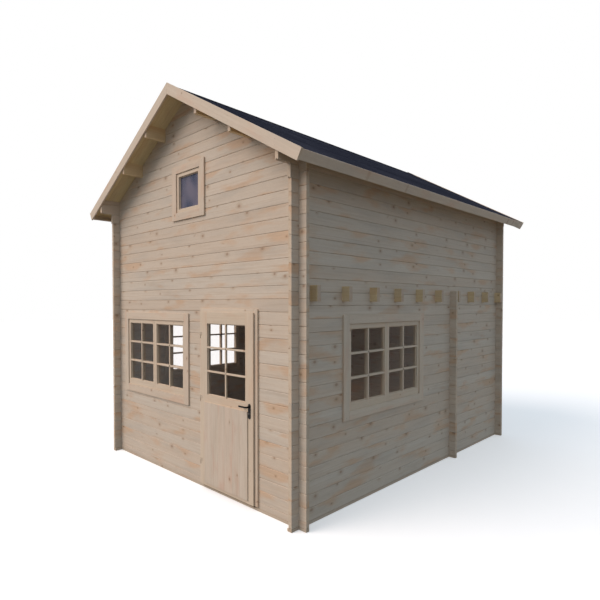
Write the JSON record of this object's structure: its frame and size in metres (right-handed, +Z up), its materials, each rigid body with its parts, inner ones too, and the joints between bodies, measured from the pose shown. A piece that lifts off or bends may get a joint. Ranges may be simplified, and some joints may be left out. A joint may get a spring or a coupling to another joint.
{
  "type": "log house with a loft",
  "caption": "Gabled log house with crossing log corners, a half-glazed entry door, barred windows, a loft carried on joists and a felted purlin roof.",
  "frame": {"origin": "middle of the footprint at ground level, under the middle of the roof", "axes": "+Z up, the entry front faces -Y, +X runs to the right along the front and +Y runs back along the ridge"},
  "size_m": [4.44, 5.392, 4.8369],
  "materials": {
    "wall_logs": "planed untreated spruce",
    "sole_timber": "impregnated timber",
    "rough_timber": "planed untreated spruce",
    "floor_boards": "planed boards",
    "roof_boards": "planed boards",
    "roofing_felt": "mineral roofing felt",
    "trim_boards": "planed boards",
    "joinery": "planed joinery",
    "threshold_timber": "planed timber",
    "window_glass": "clear pane",
    "gable_glass": "clear pane",
    "hinge_steel": "pale coated steel",
    "black_steel": "black coated"
  },
  "bodies": {
    "house": {"front_wall": "wall_logs", "back_wall": "wall_logs", "left_wall": "wall_logs", "right_wall": "wall_logs", "partition_wall": "wall_logs", "sole_beams": "sole_timber", "floor_joists": "rough_timber", "ground_floor": "floor_boards", "loft_floor": "floor_boards", "loft_joists": "rough_timber", "purlins": "rough_timber", "ridge_purlin": "rough_timber", "roof_deck_left": "roof_boards", "roof_deck_right": "roof_boards", "roofing_left": "roofing_felt", "roofing_right": "roofing_felt", "ridge_cap": "roofing_felt", "front_bargeboards": "trim_boards", "back_bargeboards": "trim_boards", "eave_boards": "trim_boards", "door_casing": "trim_boards", "door_frame": "joinery", "door_threshold": "threshold_timber", "hinge_pins": "hinge_steel", "front_window_casing": "trim_boards", "front_window_frame": "joinery", "front_window_sashes": "joinery", "front_window_glass": "window_glass", "right_window_casing": "trim_boards", "right_window_frame": "joinery", "right_window_sashes": "joinery", "right_window_glass": "window_glass", "left_window_casing": "trim_boards", "left_window_frame": "joinery", "left_window_sashes": "joinery", "left_window_glass": "window_glass", "gable_window_casing": "trim_boards", "gable_window_frame": "joinery", "gable_window_sash": "joinery", "gable_window_glass": "gable_glass"},
    "door": {"door_leaf": "joinery", "door_panel": "joinery", "door_glass": "window_glass", "hinge_knuckles": "hinge_steel", "handle_plates": "black_steel"},
    "lever": {"door_lever": "black_steel"}
  },
  "joints": [
    {"name": "door_hinge", "type": "hinge", "parent": "house", "child": "door", "pos_m": [0.298, -2.441, 1.083], "axis": [0, 0, -1], "range_deg": [0, 110]},
    {"name": "door_lever_turn", "type": "hinge", "parent": "door", "child": "lever", "pos_m": [1.207, -2.441, 1.108], "axis": [0, -1, 0], "range_deg": [0, 40], "stiffness_Nm_per_rad": 1.5, "springref_deg": -28.65}
  ]
}
